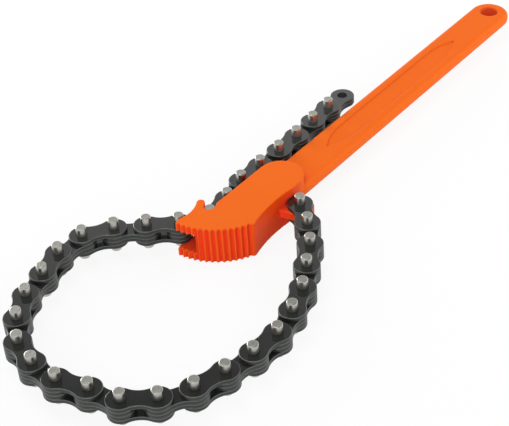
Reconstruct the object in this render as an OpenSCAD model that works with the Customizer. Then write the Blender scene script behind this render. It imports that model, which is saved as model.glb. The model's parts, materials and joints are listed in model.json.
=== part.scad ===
// Chain wrench: a bar handle with a toothed head, and a leaf chain that goes round a pipe
// and hooks on the head by one of its pins. Lengths are in millimetres.
// Origin: centre of the hang hole, halfway through the bar. +X runs along the bar to the head,
// +Z is parallel to the chain's pins, and the hook is on the -Y side.

/* [Handle bar] */
// Distance from the hang hole to the centre of the head's rounded back end
handle_len = 166.5; // [150:0.5:260]
// Width of the bar
bar_w = 18; // [14:0.5:22]
// Thickness of the bar
bar_t = 6; // [5.5:0.25:9]
// Radius of the rounding along the bar's edges
bar_edge_r = 2.5; // [0.5:0.1:2.6]
// Diameter of the hang hole
hang_d = 8; // [5:0.25:11]
// Radius of the rounded rim of the hang hole
hang_rim_r = 1; // [0.3:0.1:2]

/* [Sunk panel] */
// Distance from the hang hole to the panel's near point
panel_start = 32; // [20:1:44]
// Length of the panel from point to point
panel_len = 103; // [60:1:110]
// Width of the panel
panel_w = 9.4; // [4:0.2:11]
// Length of each pointed end
panel_nose = 17; // [8:1:28]
// Depth of the panel in each face of the bar
panel_depth = 0.6; // [0.2:0.1:1.2]

/* [Head] */
// Thickness of the head across both cheeks
head_t = 16; // [14:0.25:20]
// Width of the head behind the jaw
head_w = 18.6; // [17:0.2:22]
// Depth of the long hollow in the flank between the lug and the jaw
flank_dip = 1.2; // [0.2:0.1:1.8]
// Distance from the head's back-end centre to the centre of the jaw's arc, along the handle
jaw_x = 21.3; // [18:0.1:28]
// Offset of the centre of the jaw's arc from the handle's axis, to the hook side
jaw_y = 14.2; // [12:0.1:17]
// Radius of the jaw over the tips of its teeth
jaw_r = 27; // [24:0.25:30]
// Angle of the jaw's arc that the teeth cover
jaw_angle = 66.5; // [60:0.5:76]
// Number of teeth
jaw_teeth = 13; // [8:1:24]
// Angle of the plain strip between the last tooth and the flank
jaw_plain = 2; // [0.5:0.5:6]
// Depth of the teeth
tooth_depth = 1.3; // [0.3:0.1:1.6]

/* [Hook] */
// Distance from the head's back-end centre to the hook's seat, along the handle
seat_x = 32; // [30:0.25:34]
// Offset of the hook's seat from the handle's axis
seat_y = 10.5; // [9.5:0.1:11.5]
// Angle between the hook's mouth and the handle
mouth_angle = 25; // [15:1:32]
// Thickness of the hook's lip
lip_t = 3.3; // [2:0.1:4.2]
// Length of the lip past the middle of the seat
lip_len = 1.8; // [0.5:0.1:3.2]
// Depth of the round dip between the hook and the jaw's point
dip_depth = 1.5; // [0.5:0.1:2]
// Fall of the slot's floor from the hook's seat to the jaw
slot_fall = 2; // [0:0.1:2.4]
// Distance that the jaw's point stands past the centre of the jaw's arc, to the hook side
point_h = 0.9; // [0.2:0.1:1.2]
// Width of the flat at the jaw's point
point_w = 3.3; // [1.5:0.1:4]

/* [Lug] */
// Distance from the head's back-end centre to the lug pin, along the handle
lug_x = 6.4; // [4:0.2:9]
// Offset of the lug pin from the handle's axis
lug_y = 14.2; // [13.6:0.1:17]
// Radius of the lug's round end
lug_r = 5.6; // [4:0.1:6.4]
// Width of the lug where it leaves the head
lug_base_w = 13; // [12:0.5:20]

/* [Chain] */
// Distance between neighbouring pins
pitch = 12.7; // [12:0.05:14]
// Height of the link plates at their round ends
link_h = 10.4; // [8:0.1:10.8]
// Height of the link plates at the waist
waist_h = 7.4; // [5:0.1:8]
// Thickness of one link plate
plate_t = 1.7; // [1:0.05:1.9]
// Diameter of the pins
pin_d = 4.2; // [3:0.1:4.4]
// Length that a pin stands out past the outer plates on each side
pin_stand = 3.7; // [2:0.05:4.2]
// Width of the bevel at the ends of the pins
pin_bevel = 0.4; // [0.1:0.05:0.8]

/* [Fits] */
// Radial clearance of the pins in the inner plates and in the lug
turn_fit = 0.06; // [0.02:0.01:0.1]
// Radial gap of the pins in the outer plates that they are pressed into
press_fit = 0.01; // [0.005:0.005:0.02]
// Gap between neighbouring plates
plate_gap = 0.07; // [0.03:0.01:0.15]
// Clearance round the hooked pin in its seat
seat_fit = 0.25; // [0.15:0.05:0.5]
// Clearance between the chain and each cheek of the slot
slot_side_fit = 0.7; // [0.3:0.1:1]
// Clearance between the hooked link and the floor of the slot
slot_floor_fit = 0.5; // [0.3:0.1:1]
// Gap between the lug and each outer plate of the first link
lug_fit = 0.1; // [0.05:0.05:0.3]
// Clearance between the first link and the head beside the lug
lug_side_fit = 0.5; // [0.3:0.1:0.8]
// Gap between the chain's free end and the bar
tail_fit = 0.5; // [0.3:0.1:2]

/* [Hidden] */
$fn = 96;

// The chain: 24 links from the lug to the hook and 8 links past it, outer and inner by turns
loop_links = 24;
tail_links = 8;
links = loop_links + tail_links;
link_pairs = links / 2;
pin_r = pin_d / 2;
link_r = link_h / 2;
inner_z = plate_gap / 2;
outer_z = inner_z + plate_t + plate_gap;
chain_half_t = outer_z + plate_t;
pin_half_len = chain_half_t + pin_stand;

// Bend of the loop at each pin after the lug, in degrees, as the chain lies round the pipe space
loop_bends = [
    -9, -10, -1, -10, -7, -16, -7, -6, -16, -19, -28, 4,
    -19, -17, -21, -16, -15, 1, -19, -32, -14, -2, 15
];
// Lean of each link of the free end away from the bar, once the chain lies along it
tail_lean = [0, 0, 1, 3, 4, 6];
// Share of the climb from the hook to the bar's edge that the first link past the hook makes
first_climb = 0.35;

// Places on the head
head_c = [handle_len, 0];
lug_pin = head_c + [lug_x, lug_y];
seat = head_c + [seat_x, -seat_y];
to_seat = seat - lug_pin;
jaw_c = head_c + [jaw_x, -jaw_y];
head_half_w = head_w / 2;
jaw_tip = jaw_c + [jaw_r, 0];
jaw_end = jaw_c + jaw_r * [cos(jaw_angle + jaw_plain), sin(jaw_angle + jaw_plain)];
point_end = jaw_tip - [point_w, point_h];
seat_r = pin_r + seat_fit;
slot_half_t = chain_half_t + slot_side_fit;
slot_floor_y = -seat_y + link_r + slot_floor_fit;
lug_half_t = outer_z - lug_fit;

function dir(a) = [cos(a), sin(a)];
// A place given from the middle of the hook's seat: x out along the mouth, y towards the lip
function from_seat(x, y) = seat + x * dir(180 + mouth_angle) + y * dir(270 + mouth_angle);

lip_top = from_seat(lip_len, seat_r + lip_t);

// Sums of the first value, the first two, and so on
function running_sum(list) = [
    for (
        i = 0, total = list[0];
        i < len(list);
        i = i + 1, total = total + list[min(i, len(list) - 1)]
    ) total
];

// Directions of the loop's links when the first one lies along +X and every bend is multiplied by f
function loop_turns(f) = concat([0], running_sum(f * loop_bends));
// Place of the loop's last pin, seen from its first one
function loop_end(f) = running_sum([for (a = loop_turns(f)) pitch * dir(a)])[loop_links - 1];
// The factor at which the loop's last pin comes as far from the lug as the hook is
function closing_factor(low, high, steps) =
    steps == 0 ? (low + high) / 2
    : norm(loop_end((low + high) / 2)) > norm(to_seat) ? closing_factor((low + high) / 2, high, steps - 1)
    : closing_factor(low, (low + high) / 2, steps - 1);
least_bend = 0.8;
most_bend = 1.15;
bend_factor = closing_factor(least_bend, most_bend, 40);
closed_end = loop_end(bend_factor);
first_turn = atan2(to_seat[1], to_seat[0]) - atan2(closed_end[1], closed_end[0]);
loop_dirs = [for (a = loop_turns(bend_factor)) a + first_turn];

// The free end climbs from the hook to the bar's outer edge in two links and then follows it
tail_y = bar_w / 2 + link_r + tail_fit;
climb = tail_y - seat_y;
climb_dirs = [180 + asin(first_climb * climb / pitch), 180 + asin((1 - first_climb) * climb / pitch)];
tail_dirs = concat(climb_dirs, [for (a = tail_lean) 180 + a]);
link_dirs = concat(loop_dirs, tail_dirs);
pins = running_sum(concat([lug_pin], [for (a = link_dirs) pitch * dir(a)]));

function two_digits(i) = str(i < 10 ? "0" : "", i);
function outer_name(i) = str("outer_link_", two_digits(i), "_plates");
function pins_name(i) = str("outer_link_", two_digits(i), "_pins");
function inner_name(i) = str("inner_link_", two_digits(i), "_plates");

paint = [0.95, 0.40, 0.13];
plate_steel = [0.30, 0.31, 0.31];
pin_steel = [0.75, 0.74, 0.70];

// Half of the bar's cross-section, from the axis out to the rounded edge
module half_section(half_w) {
    flat_half = bar_t / 2 - bar_edge_r;
    translate([0, -bar_t / 2]) square([half_w - bar_edge_r, bar_t]);
    translate([0, -flat_half]) square([half_w, 2 * flat_half]);
    for (side = [-1, 1]) translate([half_w - bar_edge_r, side * flat_half]) circle(bar_edge_r);
}

module bar() {
    rotate([90, 0, 90]) linear_extrude(handle_len) {
        half_section(bar_w / 2);
        mirror([1, 0]) half_section(bar_w / 2);
    }
    rotate(90) rotate_extrude(angle = 180) half_section(bar_w / 2);
}

// The hang hole and its rounded rim on both faces
module hang_hole() {
    cylinder(d = hang_d, h = 2 * bar_t, center = true);
    for (side = [0, 1]) mirror([0, 0, side]) rotate_extrude() difference() {
        translate([0, bar_t / 2 - hang_rim_r]) square([hang_d / 2 + hang_rim_r, 2 * hang_rim_r]);
        translate([hang_d / 2 + hang_rim_r, bar_t / 2 - hang_rim_r]) circle(hang_rim_r);
    }
}

// Boat-shaped outline of the sunk panel: straight sides and two ends pointed by large arcs
module panel_outline() {
    half = panel_w / 2;
    nose_r = (panel_nose * panel_nose + half * half) / (2 * half);
    translate([panel_nose, -half]) square([panel_len - 2 * panel_nose, panel_w]);
    for (x = [panel_nose, panel_len - panel_nose]) translate([x, 0]) intersection() {
        translate([0, nose_r - half]) circle(nose_r);
        translate([0, half - nose_r]) circle(nose_r);
    }
}

// Points of the toothed jaw, from the jaw's point round to the flank: tips on the arc, roots below it
function jaw_points() = [
    for (i = [0 : 2 * jaw_teeth])
        jaw_c + (i % 2 == 0 ? jaw_r : jaw_r - tooth_depth) * dir(i * jaw_angle / (2 * jaw_teeth))
];

// The circle that hollows an outline between two of its points, taken counter-clockwise
module hollow(from, to, depth) {
    half = norm(to - from) / 2;
    radius = (half * half + depth * depth) / (2 * depth);
    out = [to[1] - from[1], from[0] - to[0]] / (2 * half);
    translate((from + to) / 2 + (radius - depth) * out) circle(radius);
}

// Outline of the head: back end, flank, toothed jaw, dip, hook and outer edge
module head_outline() {
    jaw = jaw_points();
    difference() {
        union() {
            translate(head_c) circle(head_half_w);
            translate(from_seat(lip_len, seat_r + lip_t / 2)) circle(lip_t / 2);
            polygon(concat(
                [head_c + [0, head_half_w]],
                [jaw_end],
                [for (i = [2 * jaw_teeth : -1 : 0]) jaw[i]],
                [jaw_tip - [tooth_depth, point_h / 2]],
                [point_end],
                [lip_top],
                [from_seat(lip_len, seat_r)],
                [[seat[0], -head_half_w]],
                [head_c + [0, -head_half_w]]
            ));
        }
        hollow(lip_top, point_end, dip_depth);
        hollow(jaw_end, [lug_pin[0], head_half_w], flank_dip);
    }
}

// Room for the hooked pin: a round seat with a straight mouth
module hook_seat() {
    translate(seat) rotate(180 + mouth_angle) {
        circle(seat_r);
        translate([0, -seat_r]) square([3 * seat_r, 2 * seat_r]);
    }
}

// Space between the cheeks, open along the outer edge and through the jaw
module slot_outline() {
    outside = [handle_len - head_w, jaw_tip[0] + pitch];
    polygon([
        [outside[1], slot_floor_y - slot_fall],
        [jaw_tip[0], slot_floor_y - slot_fall],
        [seat[0], slot_floor_y],
        [lug_pin[0] + pitch, slot_floor_y],
        [handle_len, -bar_w / 2],
        [outside[0], -bar_w / 2],
        [outside[0], -2 * jaw_r],
        [outside[1], -2 * jaw_r]
    ]);
}

module head() {
    difference() {
        translate([0, 0, -head_t / 2]) linear_extrude(head_t) difference() {
            head_outline();
            hook_seat();
        }
        translate([0, 0, -slot_half_t]) linear_extrude(2 * slot_half_t) slot_outline();
        translate([lug_pin[0], lug_pin[1], -slot_half_t])
            cylinder(r = link_r + lug_side_fit, h = 2 * slot_half_t);
    }
}

// The thin tongue between the first link's outer plates
module lug() {
    difference() {
        translate([0, 0, -lug_half_t]) linear_extrude(2 * lug_half_t) {
            translate(lug_pin) circle(lug_r);
            polygon([
                [lug_pin[0] - lug_base_w / 2, 0],
                [lug_pin[0] - lug_base_w / 2, head_half_w],
                [lug_pin[0] - lug_r, lug_pin[1]],
                [lug_pin[0] + lug_r, lug_pin[1]],
                [lug_pin[0] + lug_base_w / 2, head_half_w],
                [lug_pin[0] + lug_base_w / 2, 0]
            ]);
        }
        translate([lug_pin[0], lug_pin[1], 0]) cylinder(r = pin_r + turn_fit, h = 4 * plate_t, center = true);
    }
}

module handle_casting() {
    color(paint) difference() {
        union() {
            bar();
            head();
            lug();
        }
        hang_hole();
        for (side = [-1, 1]) translate([panel_start, 0, side * bar_t / 2 - panel_depth])
            linear_extrude(2 * panel_depth) panel_outline();
    }
}

// A link plate lying along +X from the origin, with a waist between its two round ends
module plate_outline(hole_r) {
    half = pitch / 2;
    waist = waist_h / 2;
    waist_r = (half * half + waist * waist - link_r * link_r) / (2 * (link_r - waist));
    meet = link_r / (link_r + waist_r);
    difference() {
        union() {
            for (x = [0, pitch]) translate([x, 0]) circle(link_r);
            translate([half * meet, -(waist + waist_r) * meet])
                square([pitch * (1 - meet), 2 * (waist + waist_r) * meet]);
        }
        for (side = [-1, 1]) translate([half, side * (waist + waist_r)]) circle(waist_r);
        for (x = [0, pitch]) translate([x, 0]) circle(hole_r);
    }
}

// The upper and the lower plate of link number n, with their inner faces z from the chain's middle
module link_plates(n, z, hole_r) {
    color(plate_steel) translate(pins[n]) rotate(link_dirs[n])
        for (side = [0, 1]) mirror([0, 0, side]) translate([0, 0, z])
            linear_extrude(plate_t) plate_outline(hole_r);
}

module outer_plates(i) {
    link_plates(2 * i - 2, outer_z, pin_r + press_fit);
}

module inner_plates(i) {
    link_plates(2 * i - 1, inner_z, pin_r + turn_fit);
}

// A round pin with bevelled ends
module pin() {
    rotate_extrude() polygon([
        [0, -pin_half_len],
        [pin_r - pin_bevel, -pin_half_len],
        [pin_r, pin_bevel - pin_half_len],
        [pin_r, pin_half_len - pin_bevel],
        [pin_r - pin_bevel, pin_half_len],
        [0, pin_half_len]
    ]);
}

module outer_pins(i) {
    color(pin_steel) for (n = [2 * i - 2, 2 * i - 1]) translate(pins[n]) pin();
}

handle_casting();
for (i = [1 : link_pairs]) {
    outer_plates(i);
    outer_pins(i);
    inner_plates(i);
}
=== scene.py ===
import json
import math
import bmesh
import bpy
from mathutils import Matrix, Vector
from mathutils.geometry import tessellate_polygon


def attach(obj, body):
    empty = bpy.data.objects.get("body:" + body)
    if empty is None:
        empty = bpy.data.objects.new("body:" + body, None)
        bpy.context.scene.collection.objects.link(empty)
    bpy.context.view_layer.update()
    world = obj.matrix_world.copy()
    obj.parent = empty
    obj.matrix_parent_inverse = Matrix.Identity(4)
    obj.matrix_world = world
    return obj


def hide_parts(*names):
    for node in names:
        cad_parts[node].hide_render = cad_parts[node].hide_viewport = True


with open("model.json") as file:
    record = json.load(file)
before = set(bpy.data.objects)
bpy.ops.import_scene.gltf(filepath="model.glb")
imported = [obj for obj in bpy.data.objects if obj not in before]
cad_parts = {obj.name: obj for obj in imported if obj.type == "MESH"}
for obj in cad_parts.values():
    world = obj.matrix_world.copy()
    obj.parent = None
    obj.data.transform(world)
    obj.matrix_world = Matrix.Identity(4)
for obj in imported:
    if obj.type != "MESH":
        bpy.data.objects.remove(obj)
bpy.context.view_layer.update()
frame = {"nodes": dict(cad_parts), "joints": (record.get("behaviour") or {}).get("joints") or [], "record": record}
scene = bpy.context.scene
scene.view_settings.view_transform = "Standard"
mm = 0.001
print("frame loaded:", len(frame["nodes"]), "nodes")


def linear(hexColour):
    channels = [int(hexColour[i:i + 2], 16) / 255 for i in (1, 3, 5)]
    return [c / 12.92 if c <= 0.04045 else ((c + 0.055) / 1.055) ** 2.4 for c in channels] + [1.0]


def addNode(tree, kind, links=None, **settings):
    # settings are the node's own properties, or its input sockets by name; links feed input sockets
    node = tree.nodes.new(kind)
    for name, value in settings.items():
        if hasattr(node, name):
            setattr(node, name, value)
        else:
            node.inputs[name.replace("_", " ")].default_value = value
    for socket, source in (links or {}).items():
        tree.links.new(source, node.inputs[socket])
    return node


def newMaterial(name):
    material = bpy.data.materials.new(name)
    material.use_nodes = True
    tree = material.node_tree
    tree.nodes.clear()
    output = tree.nodes.new("ShaderNodeOutputMaterial")
    return material, tree, output


# Camera: where the photograph was taken from, in mm, with its slight roll
photoCamera = {
    "place": (501.56, 266.71, 317.65),
    "target": (191.33, 6.08, 6.75),
    "roll": -3.93,
    "lens": 93.55,
    "sensor": 36.0,
    "nearest": 10.0,
}


def addCamera(settings):
    data = bpy.data.cameras.new("photoCamera")
    data.sensor_fit = "HORIZONTAL"
    data.sensor_width = settings["sensor"]
    data.lens = settings["lens"]
    data.clip_start = settings["nearest"] * mm
    place = Vector(settings["place"]) * mm
    ahead = (Vector(settings["target"]) * mm - place).normalized()
    level = ahead.cross(Vector((0, 0, 1))).normalized()
    upright = level.cross(ahead)
    roll = math.radians(settings["roll"])
    right = level * math.cos(roll) + upright * math.sin(roll)
    up = upright * math.cos(roll) - level * math.sin(roll)
    turn = Matrix((right, up, -ahead)).transposed().to_4x4()
    camera = bpy.data.objects.new("photoCamera", data)
    camera.matrix_world = Matrix.Translation(place) @ turn
    scene.collection.objects.link(camera)
    scene.camera = camera


addCamera(photoCamera)
print("camera placed")


# Orange stove enamel on a steel forging: a thick sprayed coat over a faint orange peel, its tone drifting at
# random.
# Over it light and shade are painted into the colour: painted shade deeper red on the head's steep walls, a
# painted highlight on crests, painted shade in the seams whose normal leans to +Y, and painted red shade in
# valleys, recesses and the bore.
# Bends are Pointiness, where 0.5 is flat; leans are parts of the normal; open is the share of sky in a recess
enamel = {
    "face": "#EE6B1F",
    "faceDrift": "#E9671E",
    # from here on the colours are painted light and shade, not colours of the coat; only face and faceDrift are
    # the enamel's own
    "seamShade": "#C2400E",
    "side": "#E6460E",
    "crestHighlight": "#F47022",
    "poolShade": "#CE2A0C",
    "recessShade": "#FF442A",
    "boreShade": "#DA4E2A",
    "shadeLean": 0.1,
    "seamBend": (0.492, 0.465),
    "wallLean": (0.85, 0.15),
    "poolShadeBend": 0.46,
    "wallShadeBend": 0.5,
    "crestHighlightBend": 0.56,
    "recessMm": 14.0,
    "recessOpen": (0.88, 0.6),
    "headFromMm": 160.0,
    "headFadeMm": 14.0,
    "driftMm": 22.0,
    "peelMm": 1.4,
    "peelDepthMm": 0.012,
    "ior": 1.5,
    "roughness": 0.42,
    "gloss": 0.04,
}


def stoveEnamel(settings):
    # a colour mix takes its two colours at 6 and 7, and gives the result at 2
    material, tree, output = newMaterial("orangeStoveEnamel")
    place = addNode(tree, "ShaderNodeTexCoord").outputs["Object"]
    drift = addNode(tree, "ShaderNodeTexNoise", {"Vector": place},
                    Scale=1 / (settings["driftMm"] * mm), Detail=2.0)
    face = addNode(tree, "ShaderNodeMix", {"Factor": drift.outputs["Fac"]}, data_type="RGBA")
    face.inputs[6].default_value = linear(settings["face"])
    face.inputs[7].default_value = linear(settings["faceDrift"])
    surface = addNode(tree, "ShaderNodeNewGeometry")
    lean = addNode(tree, "ShaderNodeSeparateXYZ", {"Vector": surface.outputs["Normal"]})
    # painted shade: concave seams take the seam colour only where their normal leans towards +Y, standing in for
    # the shadow along the panel's edge
    shadeFacing = addNode(tree, "ShaderNodeMapRange", {"Value": lean.outputs["Y"]},
                  From_Min=0.0, From_Max=settings["shadeLean"], To_Min=0.0, To_Max=1.0)
    bend = surface.outputs["Pointiness"]
    seamShadeMask = addNode(tree, "ShaderNodeMapRange", {"Value": bend, "To Max": shadeFacing.outputs["Result"]},
                   From_Min=settings["seamBend"][0], From_Max=settings["seamBend"][1], To_Min=0.0)
    seamShaded = addNode(tree, "ShaderNodeMix", {"Factor": seamShadeMask.outputs["Result"], 6: face.outputs[2]},
                    data_type="RGBA")
    seamShaded.inputs[7].default_value = linear(settings["seamShade"])
    # painted shade: the head's steep walls take the deeper red side colour, standing in for the shade they lie in
    level = addNode(tree, "ShaderNodeMath", {0: lean.outputs["Z"]}, operation="ABSOLUTE")
    steep = addNode(tree, "ShaderNodeMapRange", {"Value": level.outputs["Value"]},
                    From_Min=settings["wallLean"][0], From_Max=settings["wallLean"][1],
                    To_Min=0.0, To_Max=1.0)
    along = addNode(tree, "ShaderNodeSeparateXYZ", {"Vector": place})
    head = addNode(tree, "ShaderNodeMapRange", {"Value": along.outputs["X"]},
                   From_Min=settings["headFromMm"] * mm,
                   From_Max=(settings["headFromMm"] + settings["headFadeMm"]) * mm, To_Min=0.0, To_Max=1.0)
    wallShadeMask = addNode(tree, "ShaderNodeMath", {0: steep.outputs["Result"], 1: head.outputs["Result"]},
                   operation="MULTIPLY")
    # painted light and shade on the walls by Pointiness: the crest colour is a painted highlight on convex crests
    side = addNode(tree, "ShaderNodeValToRGB", {"Fac": bend})
    # painted shade: the pool colour darkens the walls' concave valleys
    for stop, tone in enumerate(("poolShade", "crestHighlight")):
        side.color_ramp.elements[stop].position = settings[tone + "Bend"]
        side.color_ramp.elements[stop].color = linear(settings[tone])
    side.color_ramp.elements.new(settings["wallShadeBend"]).color = linear(settings["side"])
    colour = addNode(tree, "ShaderNodeMix",
                     {"Factor": wallShadeMask.outputs["Value"], 6: seamShaded.outputs[2], 7: side.outputs["Color"]},
                     data_type="RGBA")
    # painted shade: self-occluded recesses take the recess colour on the head and the bore colour elsewhere,
    # standing in for shadow and the coat's red bounce light
    room = addNode(tree, "ShaderNodeAmbientOcclusion", samples=8, only_local=True,
                   Distance=settings["recessMm"] * mm)
    depth = addNode(tree, "ShaderNodeMapRange", {"Value": room.outputs["AO"]},
                    From_Min=settings["recessOpen"][0], From_Max=settings["recessOpen"][1],
                    To_Min=0.0, To_Max=1.0)
    hollow = addNode(tree, "ShaderNodeMix", {"Factor": head.outputs["Result"]}, data_type="RGBA")
    hollow.inputs[6].default_value = linear(settings["boreShade"])
    hollow.inputs[7].default_value = linear(settings["recessShade"])
    coated = addNode(tree, "ShaderNodeMix",
                     {"Factor": depth.outputs["Result"], 6: colour.outputs[2], 7: hollow.outputs[2]},
                     data_type="RGBA")
    peel = addNode(tree, "ShaderNodeTexNoise", {"Vector": place},
                   Scale=1 / (settings["peelMm"] * mm), Detail=1.0)
    bump = addNode(tree, "ShaderNodeBump", {"Height": peel.outputs["Fac"]},
                   Strength=1.0, Distance=settings["peelDepthMm"] * mm)
    coat = addNode(tree, "ShaderNodeBsdfPrincipled",
                   {"Base Color": coated.outputs[2], "Normal": bump.outputs["Normal"]},
                   Roughness=settings["roughness"], IOR=settings["ior"], Specular_IOR_Level=settings["gloss"])
    tree.links.new(coat.outputs["BSDF"], output.inputs["Surface"])
    return material


# Blackened spring steel: stamped plates, blackened hot and oiled. The faces are near black and mirror the
# pins under the oil, the sheared sides are a duller grey, and tumbling has rubbed the rims light
blackened = {
    "face": {"colour": "#282A28", "drift": "#222422", "roughness": 0.06, "gloss": 1.0, "metallic": 0.0},
    "side": {"colour": "#333634", "drift": "#292C2A", "roughness": 0.42, "gloss": 0.4, "metallic": 0.3},
    "rim": {"colour": "#767976", "drift": "#545755", "roughness": 0.38, "gloss": 0.5, "metallic": 0.6},
    "blotchMm": 6.0,
    "grainMm": 0.5,
    "grainDepthMm": 0.002,
}


def blackenedSteel(name, finish, settings):
    material, tree, output = newMaterial(name)
    place = addNode(tree, "ShaderNodeTexCoord").outputs["Object"]
    blotch = addNode(tree, "ShaderNodeTexNoise", {"Vector": place},
                     Scale=1 / (settings["blotchMm"] * mm), Detail=4.0)
    tone = addNode(tree, "ShaderNodeMix", {"Factor": blotch.outputs["Fac"]}, data_type="RGBA")
    tone.inputs[6].default_value = linear(finish["colour"])
    tone.inputs[7].default_value = linear(finish["drift"])
    grain = addNode(tree, "ShaderNodeTexNoise", {"Vector": place},
                    Scale=1 / (settings["grainMm"] * mm), Detail=3.0)
    bump = addNode(tree, "ShaderNodeBump", {"Height": grain.outputs["Fac"]},
                   Strength=1.0, Distance=settings["grainDepthMm"] * mm)
    steel = addNode(tree, "ShaderNodeBsdfPrincipled",
                    {"Base Color": tone.outputs[2], "Normal": bump.outputs["Normal"]},
                    Roughness=finish["roughness"], Metallic=finish["metallic"],
                    Specular_IOR_Level=finish["gloss"])
    tree.links.new(steel.outputs["BSDF"], output.inputs["Surface"])
    return material


# Bright drawn steel: hard pins cut from rod, with the die's lines down the side, dull and hammered on the ends,
# with a light ring where the rim was rolled over. The real lines and dints are about 0.3 mm across, too fine to
# show, so they are drawn coarser
drawn = {
    "side": {"colour": "#B4B2AC", "roughness": 0.28, "grainDepthMm": 0.13, "grainStretch": 30.0},
    "rim": {"colour": "#C8C6BF", "roughness": 0.3, "grainDepthMm": 0.05, "grainStretch": 1.0},
    "end": {"colour": "#BFBFB7", "roughness": 0.28, "grainDepthMm": 0.06, "grainStretch": 1.0},
    "grainMm": 0.8,
    "smoother": 0.05,
    "duller": 0.08,
}


def drawnSteel(name, finish, settings):
    roughness = finish["roughness"]
    material, tree, output = newMaterial(name)
    place = addNode(tree, "ShaderNodeTexCoord").outputs["Object"]
    stretch = addNode(tree, "ShaderNodeMapping", {"Vector": place}, Scale=(1, 1, 1 / finish["grainStretch"]))
    grain = addNode(tree, "ShaderNodeTexNoise", {"Vector": stretch.outputs["Vector"]},
                    Scale=1 / (settings["grainMm"] * mm), Detail=3.0)
    wear = addNode(tree, "ShaderNodeMapRange", {"Value": grain.outputs["Fac"]},
                   To_Min=roughness - settings["smoother"], To_Max=roughness + settings["duller"])
    bump = addNode(tree, "ShaderNodeBump", {"Height": grain.outputs["Fac"]},
                   Strength=1.0, Distance=finish["grainDepthMm"] * mm)
    steel = addNode(tree, "ShaderNodeBsdfPrincipled",
                    {"Roughness": wear.outputs["Result"], "Normal": bump.outputs["Normal"]},
                    Base_Color=linear(finish["colour"]), Metallic=1.0)
    tree.links.new(steel.outputs["BSDF"], output.inputs["Surface"])
    return material


paint = stoveEnamel(enamel)
plateFinishes = [
    blackenedSteel("blackenedSteelFace", blackened["face"], blackened),
    blackenedSteel("blackenedSteelRubbedRim", blackened["rim"], blackened),
    blackenedSteel("blackenedSteelShearedSide", blackened["side"], blackened),
]
pinFinishes = [
    drawnSteel("drawnSteelSide", drawn["side"], drawn),
    drawnSteel("drawnSteelRolledRim", drawn["rim"], drawn),
    drawnSteel("drawnSteelHammeredEnd", drawn["end"], drawn),
]
print("materials made")


def addPiece(name, mesh, materials, body, node, settings):
    # a finished mesh becomes a piece that stands for one CAD node and moves with its body; faces that are more
    # level than flatFrom stay flat, so that the rounded rims don't bend what they mirror
    flatFrom = settings["flatFrom"]
    for material in materials:
        mesh.materials.append(material)
    mesh.set_sharp_from_angle(angle=math.radians(settings["sharpDegrees"]))
    mesh.polygons.foreach_set("use_smooth", [abs(face.normal.z) < flatFrom for face in mesh.polygons])
    piece = bpy.data.objects.new(name, mesh)
    scene.collection.objects.link(piece)
    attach(piece, body)
    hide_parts(node)
    return piece


# Handle: the forged solid with its edges rounded as forging and paint leave them, and no face kept flat
handle = {
    "weldMm": 0.001,
    "gridMm": 0.28,
    "softening": 0.5,
    "passes": 3,
    "sharpDegrees": 80,
    "flatFrom": 2.0,
}


def softCopy(node, settings):
    mesh = frame["nodes"][node].data.copy()
    mesh.materials.clear()
    work = bmesh.new()
    work.from_mesh(mesh)
    bmesh.ops.remove_doubles(work, verts=work.verts, dist=settings["weldMm"] * mm)
    work.to_mesh(mesh)
    work.free()
    rough = bpy.data.objects.new("handleRough", mesh)
    scene.collection.objects.link(rough)
    grid = rough.modifiers.new("grid", "REMESH")
    grid.mode = "VOXEL"
    grid.voxel_size = settings["gridMm"] * mm
    soften = rough.modifiers.new("soften", "SMOOTH")
    soften.factor = settings["softening"]
    soften.iterations = settings["passes"]
    depsgraph = bpy.context.evaluated_depsgraph_get()
    finished = bpy.data.meshes.new_from_object(rough.evaluated_get(depsgraph))
    bpy.data.objects.remove(rough)
    return finished


addPiece("forgedHandle", softCopy("handle_casting", handle), [paint],
         "handle", "handle_casting", handle)
print("handle softened")


# Chain: every plate and pin is drawn from the places of the pivots, in mm
plate = {
    "height": 10.4,
    "waist": 7.4,
    "thick": 1.7,
    "gap": 0.07,
    "edge": 0.26,
    "edgeSteps": 3,
    "outerHole": 2.11,
    "innerHole": 2.16,
    "endSteps": 26,
    "waistSteps": 10,
    "holeSteps": 32,
    "sharpDegrees": 40,
    "flatFrom": 0.999,
}
pin = {
    "radius": 2.1,
    "halfLength": 7.205,
    "bevel": 0.4,
    "bevelSteps": 4,
    "dish": 0.05,
    "dishSag": 1.15,
    "dishRadius": 1.3,
    "sides": 40,
    "sharpDegrees": 50,
    "flatFrom": 0.999,
}
pivots = [Vector(joint["pos_m"]) / mm for joint in frame["joints"]]
endHole = next(m for m in frame["record"]["mounts"] if m["name"] == "chain_end_hole")
pivots.append(Vector(endHole["pos_m"]) / mm)


def plateRim(length, settings):
    # points round a plate and the way out at each: a round end, a waist, the other end, the other waist
    end = settings["height"] / 2
    low = settings["waist"] / 2
    half = length / 2
    hollow = (half * half + low * low - end * end) / (2 * (end - low))
    meet = math.degrees(math.atan2(low + hollow, half))
    runs = [
        ((0, 0), end, meet, 360 - meet, settings["endSteps"], 1),
        ((half, -low - hollow), hollow, 180 - meet, meet, settings["waistSteps"], -1),
        ((length, 0), end, 180 + meet, 540 - meet, settings["endSteps"], 1),
        ((half, low + hollow), hollow, 360 - meet, 180 + meet, settings["waistSteps"], -1),
    ]
    rim = []
    for centre, radius, start, stop, steps, outward in runs:
        for i in range(steps):
            turn = math.radians(start + (stop - start) * i / steps)
            way = Vector((math.cos(turn), math.sin(turn), 0))
            rim.append((Vector((centre[0], centre[1], 0)) + way * radius, way * outward))
    return rim


def addRing(faces, marks, first, second, count, mark):
    for i in range(count):
        j = (i + 1) % count
        faces.append((first + i, first + j, second + j, second + i))
        marks.append(mark)


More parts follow.
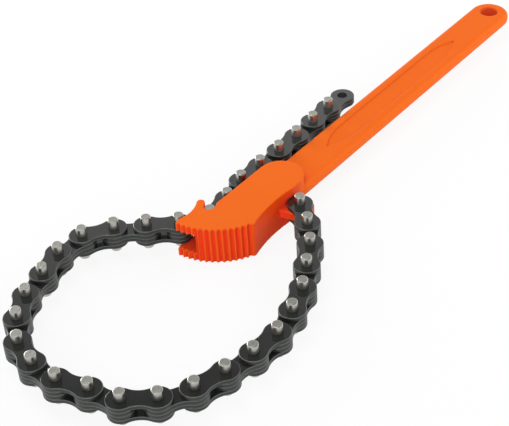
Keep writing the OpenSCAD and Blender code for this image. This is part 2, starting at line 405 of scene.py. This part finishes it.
def addPlate(points, faces, marks, start, along, bottom, hole, settings):
    # one stamped plate with rounded edges, from its bottom face up; marks are places in plateFinishes
    length = along.length
    across = Vector((-along.y, along.x, 0)) / length
    ahead = along / length
    rim = plateRim(length, settings)
    top = bottom + settings["thick"]
    edge = settings["edge"]
    steps = settings["edgeSteps"]
    turns = [math.pi / 2 * i / steps for i in range(steps + 1)]
    levels = [(edge * (1 - math.sin(t)), bottom + edge * (1 - math.cos(t))) for t in turns]
    levels += [(edge * (1 - math.sin(t)), top - edge * (1 - math.cos(t))) for t in reversed(turns)]

    def put(flat, z):
        spot = start + ahead * flat.x + across * flat.y
        points.append(Vector((spot.x, spot.y, z)) * mm)

    loops = []
    for inset, z in levels:
        loops.append(len(points))
        for spot, way in rim:
            put(spot - way * inset, z)
    for i in range(len(loops) - 1):
        addRing(faces, marks, loops[i], loops[i + 1], len(rim), 2 if i == steps else 1)
    holeLevels = [(edge / 2, bottom), (0, bottom + edge / 2), (0, top - edge / 2), (edge / 2, top)]
    highest = len(holeLevels) - 1
    holeLoops = []
    for x in (0, length):
        holeLoops.append([])
        for grow, z in holeLevels:
            holeLoops[-1].append(len(points))
            for i in range(settings["holeSteps"]):
                turn = -2 * math.pi * i / settings["holeSteps"]
                put(Vector((x + math.cos(turn) * (hole + grow), math.sin(turn) * (hole + grow), 0)), z)
        for i in range(highest):
            addRing(faces, marks, holeLoops[-1][i], holeLoops[-1][i + 1], settings["holeSteps"], 2)
    for side, loop in ((0, loops[0]), (highest, loops[-1])):
        index = list(range(loop, loop + len(rim)))
        borders = [[points[i] / mm for i in index]]
        for hoop in holeLoops:
            ring = list(range(hoop[side], hoop[side] + settings["holeSteps"]))
            index += ring
            borders.append([points[i] / mm for i in ring])
        for corners in tessellate_polygon(borders):
            a, b, c = (index[i] for i in corners)
            up = (points[b] - points[a]).cross(points[c] - points[a]).z > 0
            faces.append((a, b, c) if up == (side == highest) else (a, c, b))
            marks.append(0)


def addPin(points, faces, marks, spot, settings):
    # a round pin with rolled ends, each a little dished where it was hammered; marks are places in pinFinishes
    tall = settings["halfLength"]
    wide = settings["radius"]
    bevel = settings["bevel"]
    steps = settings["bevelSteps"]
    half = [(settings["dishRadius"], tall - settings["dish"])]
    for i in range(steps + 1):
        turn = math.pi / 2 * i / steps
        half.append((wide - bevel * (1 - math.sin(turn)), tall - bevel * (1 - math.cos(turn))))
    profile = half + [(r, -z) for r, z in reversed(half)]
    sides = settings["sides"]
    loops = []
    for r, z in profile:
        loops.append(len(points))
        for i in range(sides):
            turn = 2 * math.pi * i / sides
            points.append(Vector((spot.x + r * math.cos(turn), spot.y + r * math.sin(turn), z)) * mm)
    for i in range(len(loops) - 1):
        step = min(i, len(loops) - 2 - i)
        addRing(faces, marks, loops[i + 1], loops[i], sides, 2 if step == 0 else 1 if step <= steps else 0)
    deepest = tall - settings["dish"] * settings["dishSag"]
    for loop, z, flip in ((loops[0], deepest, False), (loops[-1], -deepest, True)):
        middle = len(points)
        points.append(Vector((spot.x, spot.y, z)) * mm)
        for i in range(sides):
            j = (i + 1) % sides
            faces.append((loop + j, loop + i, middle) if flip else (loop + i, loop + j, middle))
            marks.append(2)


def meshOf(name, points, faces, marks):
    mesh = bpy.data.meshes.new(name)
    mesh.from_pydata(points, [], faces)
    mesh.polygons.foreach_set("material_index", marks)
    mesh.update()
    return mesh


for n in range(len(pivots) - 1):
    outer = n % 2 == 0
    body = frame["joints"][n]["child"]
    along = pivots[n + 1] - pivots[n]
    lift = plate["gap"] / 2 + (plate["thick"] + plate["gap"] if outer else 0)
    hole = plate["outerHole"] if outer else plate["innerHole"]
    points, faces, marks = [], [], []
    for bottom in (lift, -lift - plate["thick"]):
        addPlate(points, faces, marks, pivots[n], along, bottom, hole, plate)
    kind = "outerPlates" if outer else "innerPlates"
    label = "%02d" % (n // 2 + 1)
    addPiece(kind + label, meshOf(kind, points, faces, marks), plateFinishes,
             body, body + "_plates", plate)
    if outer:
        points, faces, marks = [], [], []
        for spot in (pivots[n], pivots[n + 1]):
            addPin(points, faces, marks, spot, pin)
        addPiece("pins" + label, meshOf("pins", points, faces, marks), pinFinishes,
                 body, body + "_pins", pin)
print("chain built")


# Floor and light: a white sweep under a large soft lamp, in a white room whose ceiling is dim in reflections;
# the large low lamps stay out of mirrors, so that no side of the chain turns white in them
studio = {
    "floorZ": -8.0,
    "floorSize": 4000.0,
    "floor": "#F2F2F2",
    "floorGlow": 0.88,
    "surround": 0.5,
    "wallTop": 0.5,
    "ceilingEdge": 0.72,
    "ceiling": 0.1,
    "lampTarget": (170.0, 0.0, 0.0),
    "lamps": {
        "keyLamp": {"place": (140.0, -260.0, 950.0), "size": 400.0, "watts": 1.9, "mirrored": True},
        "fillLamp": {"place": (900.0, 350.0, 250.0), "size": 800.0, "watts": 4.4, "mirrored": False},
        "sideLamp": {"place": (-370.0, 420.0, 250.0), "size": 450.0, "watts": 2.3, "mirrored": False},
        "backLamp": {"place": (60.0, -800.0, 210.0), "size": 400.0, "watts": 4.0, "mirrored": True},
    },
}


def seenWhite(tree):
    # 1 where the camera, a mirror or a clear piece looks at the surround
    path = addNode(tree, "ShaderNodeLightPath")
    direct = addNode(tree, "ShaderNodeMath",
                     {0: path.outputs["Is Camera Ray"], 1: path.outputs["Is Glossy Ray"]}, operation="MAXIMUM")
    return addNode(tree, "ShaderNodeMath",
                   {0: direct.outputs["Value"], 1: path.outputs["Is Transmission Ray"]}, operation="MAXIMUM")


def addFloor(settings):
    half = settings["floorSize"] / 2 * mm
    z = settings["floorZ"] * mm
    mesh = bpy.data.meshes.new("floor")
    corners = [(-half, -half, z), (half, -half, z), (half, half, z), (-half, half, z)]
    mesh.from_pydata(corners, [], [(0, 1, 2, 3)])
    material, tree, output = newMaterial("whitePaperSweep")
    paper = addNode(tree, "ShaderNodeBsdfDiffuse", Color=linear(settings["floor"]))
    glow = addNode(tree, "ShaderNodeEmission", Color=(1, 1, 1, 1), Strength=1.0)
    share = addNode(tree, "ShaderNodeMath", {0: seenWhite(tree).outputs["Value"]}, operation="MULTIPLY")
    share.inputs[1].default_value = settings["floorGlow"]
    both = addNode(tree, "ShaderNodeMixShader",
                   {0: share.outputs["Value"], 1: paper.outputs["BSDF"], 2: glow.outputs["Emission"]})
    tree.links.new(both.outputs["Shader"], output.inputs["Surface"])
    mesh.materials.append(material)
    floor = bpy.data.objects.new("floor", mesh)
    scene.collection.objects.link(floor)


def addLamp(name, settings, target):
    data = bpy.data.lights.new(name, "AREA")
    data.size = settings["size"] * mm
    data.energy = settings["watts"]
    lamp = bpy.data.objects.new(name, data)
    place = Vector(settings["place"])
    lamp.location = place * mm
    lamp.rotation_euler = (Vector(target) - place).to_track_quat("-Z", "Y").to_euler()
    lamp.visible_glossy = settings["mirrored"]
    scene.collection.objects.link(lamp)


def addSurround(settings):
    world = bpy.data.worlds.new("whiteSurround")
    world.use_nodes = True
    tree = world.node_tree
    tree.nodes.clear()
    dim = addNode(tree, "ShaderNodeBackground", Color=(1, 1, 1, 1), Strength=settings["surround"])
    around = addNode(tree, "ShaderNodeTexCoord").outputs["Generated"]
    way = addNode(tree, "ShaderNodeSeparateXYZ", {"Vector": around})
    room = addNode(tree, "ShaderNodeMapRange", {"Value": way.outputs["Z"]},
                   From_Min=settings["wallTop"], From_Max=settings["ceilingEdge"],
                   To_Min=1.0, To_Max=settings["ceiling"])
    mirrored = addNode(tree, "ShaderNodeLightPath").outputs["Is Glossy Ray"]
    level = addNode(tree, "ShaderNodeMix", {"Factor": mirrored, "B": room.outputs["Result"]}, A=1.0)
    white = addNode(tree, "ShaderNodeBackground", {"Strength": level.outputs["Result"]}, Color=(1, 1, 1, 1))
    both = addNode(tree, "ShaderNodeMixShader",
                   {0: seenWhite(tree).outputs["Value"], 1: dim.outputs["Background"],
                    2: white.outputs["Background"]})
    output = addNode(tree, "ShaderNodeOutputWorld")
    tree.links.new(both.outputs["Shader"], output.inputs["Surface"])
    scene.world = world


addFloor(studio)
addSurround(studio)
for lampName, lampSettings in studio["lamps"].items():
    addLamp(lampName, lampSettings, studio["lampTarget"])
print("floor and lamps set")
